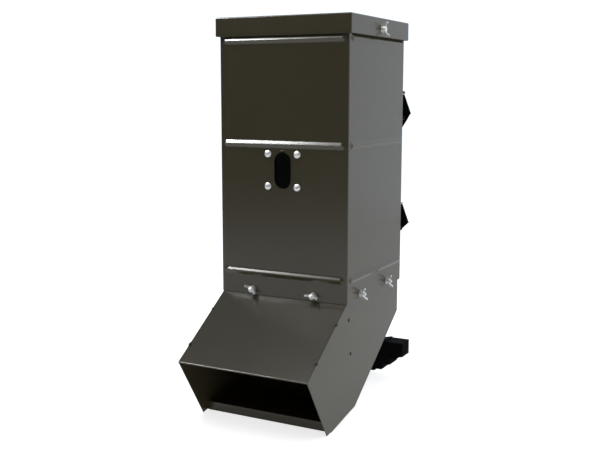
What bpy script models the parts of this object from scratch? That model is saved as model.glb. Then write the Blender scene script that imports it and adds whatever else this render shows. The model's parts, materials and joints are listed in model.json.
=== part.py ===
# Tree-hung gravity feeder for livestock and game: a tall sheet steel hopper with a slip-on
# lid stands on a slanted chute whose open mouth holds the feed. All lengths are metres.
# Shop frame: X across, Y towards the tree (0 at the hopper's front), Z up (0 at the lowest
# edge of the chute). The datum empty moves the model so that the middle of the upper
# bracket's bearing face is at the origin.

import math

import bmesh
import bpy
from mathutils import Matrix, Vector

# Sheet metal shared by the body's pieces
SHEET = 0.0012
GAP = 0.0003
BEND = 0.0025
BEND_STEPS = 3
ROUND_STEPS = 16

# Hopper
HOPPER_WIDTH = 0.255
HOPPER_DEPTH = 0.256
HOPPER_FOOT = 0.2133
HOPPER_CORNER = 0.002
REAR_FLANGE = 0.012
BEAD_HEIGHT = 0.015
BEAD_RISE = 0.0036
BEAD_INSET = 0.0055
BEAD_END = 0.008
FOOT_BEAD_UP = 0.0413
MIDDLE_BEAD_UP = 0.276

# Lid
LID_TOP = 0.7115
LID_SKIRT = 0.0333
LID_OVERHANG = 0.0062
LID_CORNER = 0.0025
LID_SCREW_DOWN = 0.020
LID_SCREW_DEPTH = 0.1245

# Sight window
SLOT_UNDER_BEAD = 0.0463
SLOT_WIDTH = 0.034
SLOT_HEIGHT = 0.066
SLOT_RIM_WIDTH = 0.003
SLOT_RIM_RISE = 0.0008
WINDOW_SCREW_ACROSS = 0.0586
WINDOW_SCREW_UP = 0.058
PANE_MARGIN = 0.009
PANE_CORNER = 0.006
PANE_THICKNESS = 0.003
GASKET_THICKNESS = 0.0015

# Chute: heights and depths of its side plates' corners
CHUTE_COLLAR = 0.030
CHUTE_BACK_INSET = 0.0108
CHUTE_BACK_BEND = 0.1505
MOUTH_TOP_DEPTH = -0.1495
MOUTH_TOP_LEVEL = 0.1157
MOUTH_FOOT_DEPTH = -0.0744
CHUTE_HEEL_DEPTH = 0.042
CHUTE_HEEL_LEVEL = 0.0158
HOOD_HEM = 0.0036
HOOD_HEM_RETURN = 0.010
LIP_DEPTH = -0.0585
LIP_HEIGHT = 0.0172
LIP_HEM = 0.003
LIP_HEM_RETURN = 0.008

# Feed baffle inside the chute, held by two rivets at each side
BAFFLE_UPPER_DEPTH = 0.0118
BAFFLE_UPPER_DOWN = 0.0297
BAFFLE_LOWER_DEPTH = 0.0207
BAFFLE_LOWER_DOWN = 0.0930
BAFFLE_FLANGE = 0.014
BAFFLE_ABOVE_FOOT = 0.0225
BAFFLE_FLANGE_DOWN = 0.0085
BAFFLE_THROAT = 0.042
BAFFLE_SHELF = 0.008

# Collar fasteners: carriage bolts with wing nuts, M6
BOLT_RADIUS = 0.003
BOLT_PLAY = 0.0003
BOLT_HEAD_RADIUS = 0.007
BOLT_HEAD_HEIGHT = 0.0034
BOLT_REACH = 0.0125
FRONT_BOLT_ACROSS = 0.0622
FRONT_BOLT_UP = 0.0097
SIDE_BOLT_FRONT = 0.0543
SIDE_BOLT_REAR = 0.179
SIDE_BOLT_UP = 0.0097
WING_HUB_RADIUS = 0.0062
WING_HUB_TOP = 0.0052
WING_HUB_HEIGHT = 0.0085
WING_SHOULDER = 0.0016
WING_SPAN = 0.026
WING_RISE = 0.0135
WING_THICKNESS = 0.0032
LID_NUT_ACROSS = 0.010
LID_NUT_THICKNESS = 0.0032

# Window fasteners, M5
SCREW_RADIUS = 0.0025
SCREW_HEAD_RADIUS = 0.0066
SCREW_HEAD_HEIGHT = 0.0030
SCREW_RECESS = 0.0015
SCREW_LENGTH = 0.0128
NUT_ACROSS = 0.008
NUT_THICKNESS = 0.004

# Rivets
RIVET_RADIUS = 0.0016
RIVET_HEAD_RADIUS = 0.0034
RIVET_HEAD_HEIGHT = 0.0011
RIVET_TAIL_RADIUS = 0.0028
RIVET_TAIL_HEIGHT = 0.0012

# Tree brackets: hat-section channels that the straps run through
UPPER_BRACKET_DOWN = 0.1565
LOWER_BRACKET_UP = 0.1227
BRACKET_INSET = 0.010
BRACKET_EAR = 0.005
BRACKET_NOTCH = 0.0205
BRACKET_SHEET = 0.002
BRACKET_STAND = 0.0217
BRACKET_MOUTH = 0.052
BRACKET_FOOT = 0.014
BRACKET_RIVET_INSET = 0.025

# Straps: flat webbing, each with a cam buckle at the left and its spare length in a hank
WEBBING = 0.038
WEBBING_THICKNESS = 0.0016
FOLD_STEPS = 4
FOLD_TURN = math.radians(222.0)
FOLD_STAND = 0.001
FOLD_LIFT = {"upper": 0.002, "lower": 0.005}
SEWN_LENGTH = 0.018
HANK_GAP = 0.0005
HANK_CLEAR = 0.010
HANK_BASE = 0.0106
UPPER_TAIL = 0.030
LOWER_TAIL = 0.076
UPPER_HANK_LEFT = 0.005
UPPER_HANK_FIRST = 0.070
UPPER_HANK_SHORT = 0.086
UPPER_HANK_MIDDLE = 0.104
UPPER_HANK_LONG = 0.117
LOWER_HANK_LEFT = -0.015
LOWER_HANK_RIGHT = 0.130
TAIL_CUT = 0.100
TAIL_BEND = 0.0025
DRIFT_RISE = 0.190
DRIFT_END = 0.030
TIE_ACROSS = 0.053
TIE_WIDTH = 0.0055
TIE_THICKNESS = 0.0012

# Fall of each strap behind the hopper, from its diagonal fold to its tail: how much of the way
# across is still to go, and how much of the way down is done
STRAP_FALLS = {
    "upper": ((0.70, 0.10), (0.40, 0.19), (0.15, 0.30), (0.035, 0.434), (0, 0.578),
              (0, 0.745), (0, 0.889), (0, 1)),
    "lower": ((0.42, 0.115), (0.13, 0.26), (0.02, 0.44), (0, 0.64), (0, 0.82), (0, 1)),
}
ROUTE_STEPS = 3

# Cam buckles
BUCKLE_SHEET = 0.0015
BUCKLE_LENGTH = 0.050
BUCKLE_INSIDE = 0.044
BUCKLE_EAR = 0.0165
BUCKLE_BAR = 0.004
BUCKLE_BAR_LOOP = 0.0032
BUCKLE_NECK = 0.007
BUCKLE_SLOT = 0.0035
BUCKLE_INSET = 0.0135
PIN_ALONG = 0.034
PIN_STAND = 0.0105
PIN_RADIUS = 0.002
PIN_PLAY = 0.0003
PIN_HEAD_RADIUS = 0.0034
PIN_HEAD = 0.001
CAM_RADIUS = 0.0082
LEVER_LENGTH = 0.036
LEVER_THICKNESS = 0.003
LEVER_WIDTH = 0.040

# Derived places
HALF_WIDTH = HOPPER_WIDTH / 2
PLATE_OUTSIDE = HALF_WIDTH - SHEET - GAP
PLATE_INSIDE = PLATE_OUTSIDE - SHEET
INNER_HALF = PLATE_INSIDE - GAP
CHUTE_FRONT = SHEET + GAP
CHUTE_BACK = HOPPER_DEPTH - CHUTE_BACK_INSET
COLLAR_TOP = HOPPER_FOOT + CHUTE_COLLAR
HOPPER_RIM = LID_TOP - SHEET - GAP
BEAD_LEVELS = (HOPPER_FOOT + FOOT_BEAD_UP, HOPPER_FOOT + MIDDLE_BEAD_UP,
               LID_TOP - LID_SKIRT - BEAD_HEIGHT / 2)
SLOT_LEVEL = BEAD_LEVELS[1] - SLOT_UNDER_BEAD
LID_SCREW_LEVEL = LID_TOP - LID_SCREW_DOWN
FRONT_BOLT_LEVEL = HOPPER_FOOT + FRONT_BOLT_UP
SIDE_BOLT_LEVEL = HOPPER_FOOT + SIDE_BOLT_UP
BAFFLE_RIVETS = ((BAFFLE_UPPER_DEPTH, HOPPER_FOOT - BAFFLE_UPPER_DOWN),
                 (BAFFLE_LOWER_DEPTH, HOPPER_FOOT - BAFFLE_LOWER_DOWN))
BRACKET_LEVELS = {"upper": LID_TOP - UPPER_BRACKET_DOWN, "lower": HOPPER_FOOT + LOWER_BRACKET_UP}
BOLT_HOLE = BOLT_RADIUS + BOLT_PLAY
SCREW_HOLE = SCREW_RADIUS + GAP
RIVET_HOLE = RIVET_RADIUS + GAP
BRACKET_HALF = HALF_WIDTH - BRACKET_INSET
BRACKET_RIVET_ACROSS = BRACKET_HALF - BRACKET_RIVET_INSET
BUCKLE_START = BUCKLE_INSET - BRACKET_HALF
BEARING_DEPTH = HOPPER_DEPTH + GAP + BRACKET_STAND
WEB_INSIDE = BEARING_DEPTH - BRACKET_SHEET
STRAP_IN = WEB_INSIDE - GAP - WEBBING_THICKNESS / 2
STRAP_OUT = BEARING_DEPTH + GAP + WEBBING_THICKNESS / 2
HANK_PITCH = WEBBING_THICKNESS + HANK_GAP
HANK_FRONT = HOPPER_DEPTH + HANK_CLEAR
HANK_BACK = HANK_FRONT + WEBBING
TAIL_DEPTH = HANK_FRONT - TAIL_BEND

# Hanks: where the tail comes in, the left end, and the right end of each layer in order
HANKS = {
    "upper": {"tail": UPPER_TAIL, "left": UPPER_HANK_LEFT,
              "right": ([UPPER_HANK_FIRST] * 2 + [UPPER_HANK_SHORT] * 5
                        + [UPPER_HANK_MIDDLE] * 7 + [UPPER_HANK_LONG] * 2)},
    "lower": {"tail": LOWER_TAIL, "left": LOWER_HANK_LEFT, "right": [LOWER_HANK_RIGHT] * 13},
}

AIM = {
    "front": (math.pi / 2, 0.0, 0.0),
    "back": (-math.pi / 2, 0.0, 0.0),
    "right": (0.0, math.pi / 2, 0.0),
    "left": (0.0, -math.pi / 2, 0.0),
    "up": (0.0, 0.0, 0.0),
    "plate": (math.pi / 2, 0.0, math.pi / 2),
}

# Colour, roughness and metallic value of each finish
FINISHES = {
    "bronze_paint": ((0.034, 0.032, 0.026), 0.38, 0.0),
    "zinc_plate": ((0.62, 0.61, 0.58), 0.25, 1.0),
    "dark_rivet": ((0.05, 0.05, 0.05), 0.45, 0.6),
    "clear_plastic": ((0.75, 0.78, 0.78), 0.08, 0.0),
    "rubber": ((0.012, 0.012, 0.012), 0.7, 0.0),
    "webbing": ((0.006, 0.006, 0.007), 0.85, 0.0),
    "black_steel": ((0.012, 0.012, 0.013), 0.4, 0.3),
}


def clear_scene():
    """Remove the objects that the file opened with."""
    for old in list(bpy.data.objects):
        bpy.data.objects.remove(old, do_unlink=True)


clear_scene()
PARTS = bpy.data.collections.new("livestock_feeder")
CUTTERS = bpy.data.collections.new("feeder_cutters")
bpy.context.scene.collection.children.link(PARTS)
bpy.context.scene.collection.children.link(CUTTERS)
CUTTERS.hide_render = True

DATUM = bpy.data.objects.new("feeder_datum", None)
DATUM.location = (0.0, -BEARING_DEPTH, -BRACKET_LEVELS["upper"])
PARTS.objects.link(DATUM)


def finish(name):
    """The material of one finish, made on first use."""
    found = bpy.data.materials.get(name)
    if found:
        return found
    colour, roughness, metallic = FINISHES[name]
    made = bpy.data.materials.new(name)
    made.use_nodes = True
    shader = made.node_tree.nodes["Principled BSDF"]
    shader.inputs["Base Color"].default_value = (*colour, 1.0)
    shader.inputs["Roughness"].default_value = roughness
    shader.inputs["Metallic"].default_value = metallic
    made.diffuse_color = (*colour, 1.0)
    return made


def place(name, mesh, surface, location=(0, 0, 0), aim="up", turn=0.0):
    """Put a mesh in the model as one named part, turned about its own axis, then aimed."""
    part = bpy.data.objects.new(name, mesh)
    part.parent = DATUM
    part.location = location
    aimed = Matrix.Rotation(AIM[aim][2], 4, "Z") @ Matrix.Rotation(AIM[aim][1], 4, "Y")
    aimed = aimed @ Matrix.Rotation(AIM[aim][0], 4, "X") @ Matrix.Rotation(turn, 4, "Z")
    part.rotation_euler = aimed.to_euler()
    if not mesh.materials:
        mesh.materials.append(finish(surface))
    PARTS.objects.link(part)
    return part


def baked(data, name, modifiers=()):
    """The mesh that an object of this data has after its modifiers, with its caps welded."""
    helper = bpy.data.objects.new(name, data)
    bpy.context.scene.collection.objects.link(helper)
    for kind, settings in modifiers:
        added = helper.modifiers.new(kind.lower(), kind)
        for key, value in settings.items():
            setattr(added, key, value)
    graph = bpy.context.evaluated_depsgraph_get()
    mesh = bpy.data.meshes.new_from_object(helper.evaluated_get(graph))
    mesh.name = name
    bpy.data.objects.remove(helper, do_unlink=True)
    welder = bmesh.new()
    welder.from_mesh(mesh)
    bmesh.ops.remove_doubles(welder, verts=welder.verts, dist=1e-6)
    welder.to_mesh(mesh)
    welder.free()
    return mesh


def smooth(mesh, degrees=35.0):
    """Shade a round piece smooth, and keep its edges crisp."""
    mesh.shade_smooth()
    mesh.set_sharp_from_angle(angle=math.radians(degrees))
    return mesh


def arc(centre, radius, start, end, steps):
    """Points of an arc about a centre, angles in degrees, both ends included."""
    angles = [math.radians(start + (end - start) * n / steps) for n in range(steps + 1)]
    return [(centre[0] + radius * math.cos(a), centre[1] + radius * math.sin(a)) for a in angles]


def ring(centre, radius, steps=ROUND_STEPS):
    """Points round a full circle."""
    return arc(centre, radius, 0, 360, steps)[:-1]


def stadium(width, height, steps=8):
    """Outline of an upright slot with round ends, about its middle."""
    radius = width / 2
    rise = height / 2 - radius
    return arc((0, rise), radius, 0, 180, steps) + arc((0, -rise), radius, 180, 360, steps)


def rounded_box(half_across, half_up, radius, steps=3):
    """Outline of a rectangle with round corners, about its middle."""
    x, y = half_across - radius, half_up - radius
    corners = (((x, y), 0), ((-x, y), 90), ((-x, -y), 180), ((x, -y), 270))
    return [point for centre, start in corners
            for point in arc(centre, radius, start, start + 90, steps)]


def rounded_path(points, radius, steps=BEND_STEPS):
    """A polyline whose inner corners are turned into bends of one radius."""
    path = [Vector(points[0])]
    for before, corner, after in zip(points, points[1:], points[2:]):
        corner = Vector(corner)
        back = (Vector(before) - corner).normalized()
        ahead = (Vector(after) - corner).normalized()
        half = back.angle(ahead) / 2
        reach = radius / math.tan(half)
        centre = corner + (back + ahead).normalized() * radius / math.sin(half)
        start = corner + back * reach - centre
        stop = corner + ahead * reach - centre
        swing = start.angle_signed(stop)
        path += [centre + Matrix.Rotation(-swing * n / steps, 2) @ start for n in range(steps + 1)]
    path.append(Vector(points[-1]))
    return path


def plate(name, loops, thickness):
    """A flat plate from closed outlines: the first is its edge, the others its holes."""
    outline = bpy.data.curves.new(name, "CURVE")
    outline.dimensions = "2D"
    outline.fill_mode = "BOTH"
    outline.extrude = thickness / 2
    for loop in loops:
        spline = outline.splines.new("POLY")
        spline.points.add(len(loop) - 1)
        for point, (x, y) in zip(spline.points, loop):
            point.co = (x, y, 0.0, 1.0)
        spline.use_cyclic_u = True
    mesh = baked(outline, name)
    bpy.data.curves.remove(outline)
    return mesh


def turned(name, profile, steps=ROUND_STEPS):
    """A turned piece from a profile of (radius, height) that runs down its outer side."""
    line = bpy.data.meshes.new(name)
    edges = [(n, n + 1) for n in range(len(profile) - 1)]
    line.from_pydata([(radius, 0.0, height) for radius, height in profile], edges, [])
    mesh = baked(line, name, [("SCREW", {
        "angle": 2 * math.pi, "steps": steps, "render_steps": steps,
        "use_merge_vertices": True, "merge_threshold": 1e-5, "axis": "Z"})])
    return smooth(mesh)


def swept(name, rows, thickness, offset, inside=None, even=True):
    """A sheet of one thickness over rows of points, each row drawn out to the next."""
    sheet = bmesh.new()
    verts = [sheet.verts.new(point) for point in rows[0]]
    edges = [sheet.edges.new(pair) for pair in zip(verts, verts[1:])]
    for row in rows[1:]:
        drawn = bmesh.ops.extrude_edge_only(sheet, edges=edges)["geom"]
        edges = [item for item in drawn if isinstance(item, bmesh.types.BMEdge)]
        moved = {tuple(vert.co): vert for vert in drawn if isinstance(vert, bmesh.types.BMVert)}
        verts = [moved[tuple(vert.co)] for vert in verts]
        for vert, point in zip(verts, row):
            vert.co = point
    sheet.normal_update()
    if inside is not None:
        away = sum(face.calc_area() * face.normal.dot(face.calc_center_median() - Vector(inside))
                   for face in sheet.faces)
        if away < 0:
            bmesh.ops.reverse_faces(sheet, faces=sheet.faces)
    mesh = bpy.data.meshes.new(name)
    sheet.to_mesh(mesh)
    sheet.free()
    part = bpy.data.objects.new(name, mesh)
    solid = part.modifiers.new("wall", "SOLIDIFY")
    solid.thickness = thickness
    solid.offset = offset
    solid.use_even_offset = even
    return part


def adopt(part, surface):
    """Put a swept object in the model with its finish."""
    part.parent = DATUM
    part.data.materials.append(finish(surface))
    PARTS.objects.link(part)
    return part


def bent_sheet(name, profile, half_width, thickness, offset, inside, bend=BEND):
    """A bent sheet: a profile of (y, z) drawn along X."""
    path = rounded_path(profile, bend)
    rows = [[(side * half_width, y, z) for y, z in path] for side in (-1, 1)]
    return swept(name, rows, thickness, offset, inside)


def cutter(name, meshes):
    """One hidden cutting body made of separate closed shapes: (mesh, location, aim)."""
    joined = bmesh.new()
    for mesh, location, aim in meshes:
        angles = AIM[aim]
        moved = mesh.copy()
        turn = Matrix.Rotation(angles[2], 4, "Z") @ Matrix.Rotation(angles[1], 4, "Y")
        turn = turn @ Matrix.Rotation(angles[0], 4, "X")
        moved.transform(Matrix.Translation(location) @ turn)
        joined.from_mesh(moved)
        bpy.data.meshes.remove(moved)
    bmesh.ops.recalc_face_normals(joined, faces=joined.faces)
    mesh = bpy.data.meshes.new(name)
    joined.to_mesh(mesh)
    joined.free()
    tool = bpy.data.objects.new(name, mesh)
    tool.parent = DATUM
    tool.hide_render = True
    tool.display_type = "WIRE"
    CUTTERS.objects.link(tool)
    return tool


def cut(part, tool, operation="DIFFERENCE"):
    """Cut a part with a tool, or join the tool to it."""
    change = part.modifiers.new(tool.name, "BOOLEAN")
    change.operation = operation
    change.solver = "EXACT"
    change.object = tool


def drill(radius, length):
    """A round hole's cutting body about its middle."""
    mesh = bpy.data.meshes.new("drill")
    shape = bmesh.new()
    bmesh.ops.create_cone(shape, cap_ends=True, segments=ROUND_STEPS, radius1=radius,
                          radius2=radius, depth=length)
    shape.to_mesh(mesh)
    shape.free()
    return mesh


def block(size, centre=(0, 0, 0)):
    """A box's cutting body."""
    mesh = bpy.data.meshes.new("block")
    shape = bmesh.new()
    bmesh.ops.create_cube(shape, size=1.0)
    bmesh.ops.scale(shape, verts=shape.verts, vec=size)
    bmesh.ops.translate(shape, verts=shape.verts, vec=centre)
    shape.to_mesh(mesh)
    shape.free()
    return mesh


def bead_rise(along, level, half_length):
    """How far the stamped beads lift a wall at one point of it."""
    radius = BEAD_HEIGHT / 2
    past_end = max(0.0, abs(along) - (half_length - BEAD_END)) * radius / BEAD_END
    nearest = min(math.hypot(past_end, level - bead) for bead in BEAD_LEVELS)
    if nearest >= radius:
        return 0.0
    return BEAD_RISE * (1 + math.cos(math.pi * nearest / radius)) / 2


def wall_stations(half_wall):
    """Places along a beaded wall, closer together where the beads' blunt ends are."""
    end = half_wall - BEAD_INSET
    ends = [end - BEAD_END * part for part in (0.0, 0.3, 0.65, 1.0)]
    return [-place for place in ends] + ends[::-1]


def make_hopper_shell():
    """Front and side walls in one wrapped sheet, with stamped beads and rear flanges."""
    half_depth = HOPPER_DEPTH / 2
    rear = HOPPER_DEPTH - SHEET - GAP
    c = HOPPER_CORNER
    sides = [(x, half_depth + along) for x, order in ((-HALF_WIDTH, -1), (HALF_WIDTH, 1))
             for along in wall_stations(half_depth)[::order]]
    left, right = sides[:len(sides) // 2], sides[len(sides) // 2:]
    front = [(along, 0.0) for along in wall_stations(HALF_WIDTH)]
    plan = [(-HALF_WIDTH + REAR_FLANGE, rear)]
    plan += arc((-HALF_WIDTH + c, rear - c), c, 90, 180, BEND_STEPS)
    plan += left + arc((-HALF_WIDTH + c, c), c, 180, 270, BEND_STEPS)
    plan += front + arc((HALF_WIDTH - c, c), c, 270, 360, BEND_STEPS)
    plan += right + arc((HALF_WIDTH - c, rear - c), c, 0, 90, BEND_STEPS)
    plan += [(HALF_WIDTH - REAR_FLANGE, rear)]
    levels = [HOPPER_FOOT]
    for bead in BEAD_LEVELS:
        levels += [bead + BEAD_HEIGHT / 2 * part for part in (-1, -0.68, -0.34, 0, 0.34, 0.68, 1)]
    levels.append(HOPPER_RIM)
    rows = [[raised(x, y, level) for x, y in plan] for level in levels]
    shell = swept("hopper_shell", rows, SHEET, -1, (0, half_depth, LID_TOP / 2))
    adopt(shell, "bronze_paint")
    rim_mesh = plate("slot_rim", [
        stadium(SLOT_WIDTH + 2 * SLOT_RIM_WIDTH, SLOT_HEIGHT + 2 * SLOT_RIM_WIDTH),
        stadium(SLOT_WIDTH - SHEET, SLOT_HEIGHT - SHEET)], SLOT_RIM_RISE + SHEET / 2)
    rim_at = (0, (SHEET / 2 - SLOT_RIM_RISE) / 2, SLOT_LEVEL)
    cut(shell, cutter("slot_rim_piece", [(rim_mesh, rim_at, "front")]), "UNION")
    through = 8 * SHEET
    slot = plate("slot", [stadium(SLOT_WIDTH, SLOT_HEIGHT)], through)
    holes = [(slot, (0, 0, SLOT_LEVEL), "front")]
    holes += [(drill(SCREW_HOLE, through), at, "front") for at in window_screw_places()]
    holes += [(drill(BOLT_HOLE, through), at, aim) for _, at, aim in collar_bolt_places()]
    cut(shell, cutter("hopper_holes", holes))
    return shell


def raised(x, y, level):
    """A point of the hopper's outside, lifted where a bead passes."""
    if y == 0.0:
        return (x, -bead_rise(x, level, HALF_WIDTH - BEAD_INSET), level)
    if abs(x) == HALF_WIDTH:
        half_depth = HOPPER_DEPTH / 2
        lift = bead_rise(y - half_depth, level, half_depth - BEAD_INSET)
        return (x + math.copysign(lift, x), y, level)
    return (x, y, level)


def window_screw_places():
    """Where the window's screws pass the front wall."""
    return [(x, 0.0, SLOT_LEVEL + z) for x in (-WINDOW_SCREW_ACROSS / 2, WINDOW_SCREW_ACROSS / 2)
            for z in (WINDOW_SCREW_UP / 2, -WINDOW_SCREW_UP / 2)]


def collar_bolt_places():
    """Name, place on the hopper's outside and direction of each collar bolt."""
    places = [("front_left", (-FRONT_BOLT_ACROSS, 0.0, FRONT_BOLT_LEVEL), "front"),
              ("front_right", (FRONT_BOLT_ACROSS, 0.0, FRONT_BOLT_LEVEL), "front")]
    for side, x in (("right", HALF_WIDTH), ("left", -HALF_WIDTH)):
        for order, depth in (("front", SIDE_BOLT_FRONT), ("rear", SIDE_BOLT_REAR)):
            places.append((side + "_" + order, (x, depth, SIDE_BOLT_LEVEL), side))
    return places


def bracket_rivet_places(level):
    """Where the rivets of one bracket pass the hopper's back."""
    up = BRACKET_MOUTH / 2 + BRACKET_FOOT / 2 + BRACKET_SHEET / 2
    return [(x, HOPPER_DEPTH, level + z) for x in (-BRACKET_RIVET_ACROSS, BRACKET_RIVET_ACROSS)
            for z in (up, -up)]


def make_back_panel():
    """The hopper's back, spot welded behind the shell's flanges, with a foot flange."""
    profile = [(HOPPER_DEPTH, HOPPER_RIM), (HOPPER_DEPTH, HOPPER_FOOT),
               (CHUTE_BACK + GAP, HOPPER_FOOT)]
    panel = bent_sheet("hopper_back_panel", profile, HALF_WIDTH - HOPPER_CORNER, SHEET, -1,
                       (0, HOPPER_DEPTH / 2, LID_TOP / 2))
    adopt(panel, "bronze_paint")
    notch = (2 * REAR_FLANGE, HOPPER_DEPTH - SHEET - GAP / 2, 4 * BEND)
    tools = [(block(notch, (side * (HALF_WIDTH - GAP), notch[1] / 2, HOPPER_FOOT)), (0, 0, 0), "up")
             for side in (-1, 1)]
    for level in BRACKET_LEVELS.values():
        tools += [(drill(RIVET_HOLE, 8 * SHEET), at, "back") for at in bracket_rivet_places(level)]
    cut(panel, cutter("back_panel_cuts", tools))


def make_lid():
    """The slip-on lid: a shallow cap with a folded skirt."""
    box = bmesh.new()
    bmesh.ops.create_cube(box, size=1.0)
    size = (HOPPER_WIDTH + 2 * LID_OVERHANG, HOPPER_DEPTH + 2 * LID_OVERHANG, LID_SKIRT)
    bmesh.ops.scale(box, verts=box.verts, vec=size)
    bmesh.ops.translate(box, verts=box.verts,
                        vec=(0, HOPPER_DEPTH / 2, LID_TOP - LID_SKIRT / 2))
    foot = [face for face in box.faces if face.normal.z < -0.5]
    bmesh.ops.delete(box, geom=foot, context="FACES_ONLY")
    bends = [edge for edge in box.edges if len(edge.link_faces) == 2]
    bmesh.ops.bevel(box, geom=bends, offset=LID_CORNER, segments=BEND_STEPS, profile=0.5,
                    affect="EDGES")
    mesh = bpy.data.meshes.new("lid")
    box.to_mesh(mesh)
    box.free()
    lid = bpy.data.objects.new("lid", mesh)
    wall = lid.modifiers.new("wall", "SOLIDIFY")
    wall.thickness = SHEET
    wall.offset = -1
    wall.use_even_offset = True
    adopt(lid, "bronze_paint")
    holes = [(drill(BOLT_HOLE, 8 * SHEET), at, side) for side, at in lid_screw_places()]
    cut(lid, cutter("lid_holes", holes))


def lid_screw_places():
    """Side and place of each wing screw on the outside of the lid's skirt."""
    reach = HALF_WIDTH + LID_OVERHANG
    return [("right", (reach, LID_SCREW_DEPTH, LID_SCREW_LEVEL)),
            ("left", (-reach, LID_SCREW_DEPTH, LID_SCREW_LEVEL))]


def make_window():
    """Clear pane and rubber gasket behind the sight slot."""
    half_across = WINDOW_SCREW_ACROSS / 2 + PANE_MARGIN
    half_up = SLOT_HEIGHT / 2 + PANE_MARGIN
    edge = rounded_box(half_across, half_up, PANE_CORNER)
    holes = [ring((x, z - SLOT_LEVEL), SCREW_HOLE) for x, _, z in window_screw_places()]
    gasket = plate("window_gasket", [edge, stadium(SLOT_WIDTH, SLOT_HEIGHT)] + holes,
                   GASKET_THICKNESS)
    depth = SHEET + GAP + GASKET_THICKNESS / 2
    place("window_gasket", gasket, "rubber", (0, depth, SLOT_LEVEL), "front")
    pane = plate("window_pane", [edge] + holes, PANE_THICKNESS)
    depth += (GASKET_THICKNESS + PANE_THICKNESS) / 2 + GAP
    place("window_pane", pane, "clear_plastic", (0, depth, SLOT_LEVEL), "front")


def make_window_fasteners():
    """Truss head screws from the front, with plain hexagon nuts behind the pane."""
    r, h, edge = SCREW_RADIUS, SCREW_HEAD_HEIGHT, SCREW_HEAD_RADIUS
    tip = -SCREW_LENGTH
    profile = [(0, h - SCREW_RECESS), (SCREW_RECESS, h - SCREW_RECESS), (SCREW_RECESS, h),
               (edge * 0.45, h * 0.95), (edge * 0.78, h * 0.68), (edge, h * 0.22), (edge, 0),
               (r, 0), (r, tip + r / 5), (r * 0.8, tip), (0, tip)]
    screw = turned("window_screw", profile)
    hexagon = ring((0, 0), NUT_ACROSS / 2 / math.cos(math.pi / 6), 6)
    nut = plate("window_nut", [hexagon, ring((0, 0), SCREW_HOLE)], NUT_THICKNESS)
    nut_depth = SHEET + GASKET_THICKNESS + PANE_THICKNESS + 3 * GAP + NUT_THICKNESS / 2
    names = ("upper_left", "lower_left", "upper_right", "lower_right")
    for name, (x, _, z) in zip(names, window_screw_places()):
        place("window_screw_" + name, screw, "zinc_plate", (x, -GAP, z), "front")
        place("window_nut_" + name, nut, "zinc_plate", (x, nut_depth, z), "front")


def side_plate_outline():
    """Corners of the chute's side plates, (y, z), in order."""
    collar_front = HOPPER_CORNER + GAP
    shoulder = HOPPER_FOOT - GAP
    return [(collar_front, COLLAR_TOP), (collar_front, shoulder), (CHUTE_FRONT, shoulder),
            (MOUTH_TOP_DEPTH, MOUTH_TOP_LEVEL), (MOUTH_FOOT_DEPTH, 0.0),
            (CHUTE_HEEL_DEPTH, CHUTE_HEEL_LEVEL), (CHUTE_BACK, CHUTE_BACK_BEND),
            (CHUTE_BACK, COLLAR_TOP)]


def make_side_plates():
    """The chute's two flat sides, pierced for the collar bolts and the baffle's rivets."""
    holes = [ring((depth, SIDE_BOLT_LEVEL), BOLT_HOLE)
             for depth in (SIDE_BOLT_FRONT, SIDE_BOLT_REAR)]
    holes += [ring(at, RIVET_HOLE) for at in BAFFLE_RIVETS]
    mesh = plate("chute_side", [side_plate_outline()] + holes, SHEET)
    middle = (PLATE_OUTSIDE + PLATE_INSIDE) / 2
    place("chute_side_right", mesh, "bronze_paint", (middle, 0, 0), "plate")
    place("chute_side_left", mesh, "bronze_paint", (-middle, 0, 0), "plate")


def make_hood():
    """The slanted front of the chute, from the collar down to its hemmed edge."""
    mouth = Vector((MOUTH_FOOT_DEPTH - MOUTH_TOP_DEPTH, -MOUTH_TOP_LEVEL)).normalized()
    slope = Vector((CHUTE_FRONT - MOUTH_TOP_DEPTH, HOPPER_FOOT - MOUTH_TOP_LEVEL)).normalized()
    edge = Vector((MOUTH_TOP_DEPTH, MOUTH_TOP_LEVEL))
    profile = [(CHUTE_FRONT, COLLAR_TOP), (CHUTE_FRONT, HOPPER_FOOT), edge,
               edge + mouth * HOOD_HEM, edge + mouth * HOOD_HEM + slope * HOOD_HEM_RETURN]
    hood = bent_sheet("chute_hood", profile, INNER_HALF, SHEET, -1, (0, HOPPER_DEPTH / 2, HOPPER_FOOT / 2),
                      bend=HOOD_HEM / 2 - GAP / 2)
    adopt(hood, "bronze_paint")
    holes = [(drill(BOLT_HOLE, 8 * SHEET), at, aim)
             for _, at, aim in collar_bolt_places() if aim == "front"]
    cut(hood, cutter("hood_holes", holes))


def make_chute_floor():
    """Back slope, trough floor and upturned lip of the chute, bent from one sheet."""
    profile = [(CHUTE_BACK, COLLAR_TOP), (CHUTE_BACK, CHUTE_BACK_BEND),
               (CHUTE_HEEL_DEPTH, CHUTE_HEEL_LEVEL), (LIP_DEPTH, 0.0),
               (LIP_DEPTH, LIP_HEIGHT), (LIP_DEPTH + LIP_HEM, LIP_HEIGHT),
               (LIP_DEPTH + LIP_HEM, LIP_HEIGHT - LIP_HEM_RETURN)]
    floor = bent_sheet("chute_floor", profile, INNER_HALF, SHEET, -1, (0, 0, HOPPER_FOOT),
                       bend=LIP_HEM / 2 - GAP / 10)
    adopt(floor, "bronze_paint")


def baffle_line():
    """A point on the baffle's face and its upward direction, both (y, z)."""
    low, high = Vector(BAFFLE_RIVETS[1]), Vector(BAFFLE_RIVETS[0])
    up = (high - low).normalized()
    behind = Vector((up.y, -up.x))
    return low + behind * BAFFLE_FLANGE / 2, up, behind


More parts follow.
